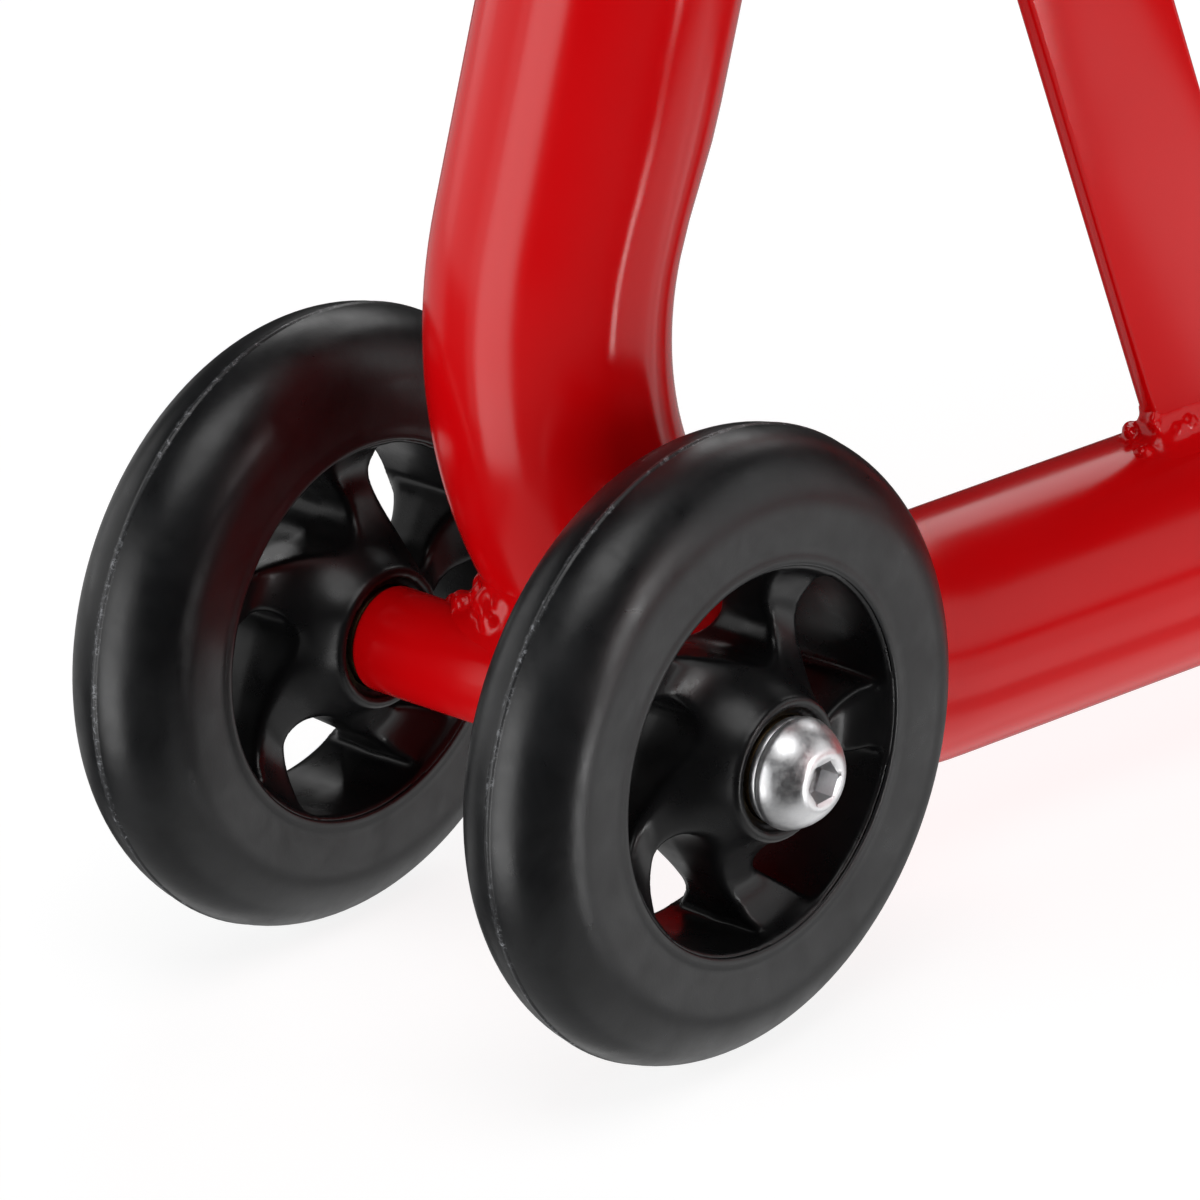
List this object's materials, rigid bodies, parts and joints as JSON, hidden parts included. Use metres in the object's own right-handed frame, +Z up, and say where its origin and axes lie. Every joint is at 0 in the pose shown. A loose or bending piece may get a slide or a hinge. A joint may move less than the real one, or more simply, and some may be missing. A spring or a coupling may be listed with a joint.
{
  "type": "motorcycle paddock stand",
  "caption": "Red tubular rear paddock stand for a motorcycle with twin small wheels on each side, swivelling padded lift brackets and a bolted U handle.",
  "frame": {"origin": "on the ground, in the middle of the stand", "axes": "+Z up, +Y from the wheels towards the handle, +X towards the right-hand side frame seen from the handle"},
  "size_m": [0.5066, 0.671, 0.3594],
  "materials": {
    "red_paint": "gloss powder coat over welded steel tube",
    "tyre_rubber": "satin black moulded rubber with a pale scuffed parting line",
    "hub_plastic": "semi-gloss black injection-moulded nylon",
    "black_plastic": "semi-gloss black moulded plastic",
    "zinc": "bright zinc plate",
    "bracket_steel": "zinc-plated steel plate",
    "bush_bronze": "sintered bronze",
    "pad_rubber": "matt black rubber",
    "grip_rubber": "matt black ribbed rubber grip"
  },
  "bodies": {
    "frame": {"left_side_tube": "red_paint", "left_brace_strap": "red_paint", "left_axle_tube": "red_paint", "left_socket_tube": "red_paint", "left_clamp_boss": "red_paint", "left_top_cap": "black_plastic", "left_handle_bolt": "zinc", "left_handle_nut": "zinc", "left_foot_plate": "red_paint", "left_rubber_foot": "pad_rubber", "left_outer_washer": "zinc", "left_outer_bolt": "zinc", "left_inner_washer": "zinc", "left_inner_bolt": "zinc", "right_side_tube": "red_paint", "right_brace_strap": "red_paint", "right_axle_tube": "red_paint", "right_socket_tube": "red_paint", "right_clamp_boss": "red_paint", "right_top_cap": "black_plastic", "right_handle_bolt": "zinc", "right_handle_nut": "zinc", "right_foot_plate": "red_paint", "right_rubber_foot": "pad_rubber", "right_outer_washer": "zinc", "right_outer_bolt": "zinc", "right_inner_washer": "zinc", "right_inner_bolt": "zinc", "cross_tube": "red_paint", "handle_tube": "red_paint", "handle_grip": "grip_rubber"},
    "left_outer_wheel": {"left_outer_tyre": "tyre_rubber", "left_outer_hub": "hub_plastic", "left_outer_bush": "bush_bronze"},
    "left_inner_wheel": {"left_inner_tyre": "tyre_rubber", "left_inner_hub": "hub_plastic", "left_inner_bush": "bush_bronze"},
    "left_shank": {"left_bracket_shank": "zinc", "left_bracket_screw": "zinc"},
    "left_bracket": {"left_lift_bracket": "bracket_steel", "left_base_pad": "pad_rubber", "left_side_pad": "pad_rubber"},
    "left_stud": {"left_clamp_stud": "zinc"},
    "left_knob": {"left_clamp_knob": "black_plastic"},
    "right_outer_wheel": {"right_outer_tyre": "tyre_rubber", "right_outer_hub": "hub_plastic", "right_outer_bush": "bush_bronze"},
    "right_inner_wheel": {"right_inner_tyre": "tyre_rubber", "right_inner_hub": "hub_plastic", "right_inner_bush": "bush_bronze"},
    "right_shank": {"right_bracket_shank": "zinc", "right_bracket_screw": "zinc"},
    "right_bracket": {"right_lift_bracket": "bracket_steel", "right_base_pad": "pad_rubber", "right_side_pad": "pad_rubber"},
    "right_stud": {"right_clamp_stud": "zinc"},
    "right_knob": {"right_clamp_knob": "black_plastic"}
  },
  "joints": [
    {"name": "left_outer_wheel_roll", "type": "hinge", "parent": "frame", "child": "left_outer_wheel", "pos_m": [-0.23055, -0.28555, 0.05], "axis": [1, 0, 0], "continuous": true},
    {"name": "left_inner_wheel_roll", "type": "hinge", "parent": "frame", "child": "left_inner_wheel", "pos_m": [-0.14945, -0.28555, 0.05], "axis": [1, 0, 0], "continuous": true},
    {"name": "left_shank_slide", "type": "slide", "parent": "frame", "child": "left_shank", "axis": [1, 0, 0], "range_m": [-0.014, 0.026]},
    {"name": "left_bracket_swivel", "type": "hinge", "parent": "left_shank", "child": "left_bracket", "pos_m": [-0.17459, -0.20912, 0.322], "axis": [1, 0, 0], "range_deg": [-70, 70]},
    {"name": "left_stud_travel", "type": "slide", "parent": "frame", "child": "left_stud", "axis": [0, 0.9554, -0.2953], "range_m": [0, 0.0015]},
    {"name": "left_knob_turn", "type": "hinge", "parent": "left_stud", "child": "left_knob", "pos_m": [-0.17459, -0.20912, 0.322], "axis": [0, 0.9554, -0.2953], "range_deg": [0, 360]},
    {"name": "right_outer_wheel_roll", "type": "hinge", "parent": "frame", "child": "right_outer_wheel", "pos_m": [0.23055, -0.28555, 0.05], "axis": [1, 0, 0], "continuous": true},
    {"name": "right_inner_wheel_roll", "type": "hinge", "parent": "frame", "child": "right_inner_wheel", "pos_m": [0.14945, -0.28555, 0.05], "axis": [1, 0, 0], "continuous": true},
    {"name": "right_shank_slide", "type": "slide", "parent": "frame", "child": "right_shank", "axis": [-1, 0, 0], "range_m": [-0.014, 0.026]},
    {"name": "right_bracket_swivel", "type": "hinge", "parent": "right_shank", "child": "right_bracket", "pos_m": [0.17459, -0.20912, 0.322], "axis": [1, 0, 0], "range_deg": [-70, 70]},
    {"name": "right_stud_travel", "type": "slide", "parent": "frame", "child": "right_stud", "axis": [0, 0.9554, -0.2953], "range_m": [0, 0.0015]},
    {"name": "right_knob_turn", "type": "hinge", "parent": "right_stud", "child": "right_knob", "pos_m": [0.17459, -0.20912, 0.322], "axis": [0, 0.9554, -0.2953], "range_deg": [0, 360]}
  ],
  "couplings": [
    {"joint": "left_knob_turn", "follows": "left_stud_travel", "rad_per_m": 4188.8},
    {"joint": "right_knob_turn", "follows": "right_stud_travel", "rad_per_m": 4188.8}
  ]
}
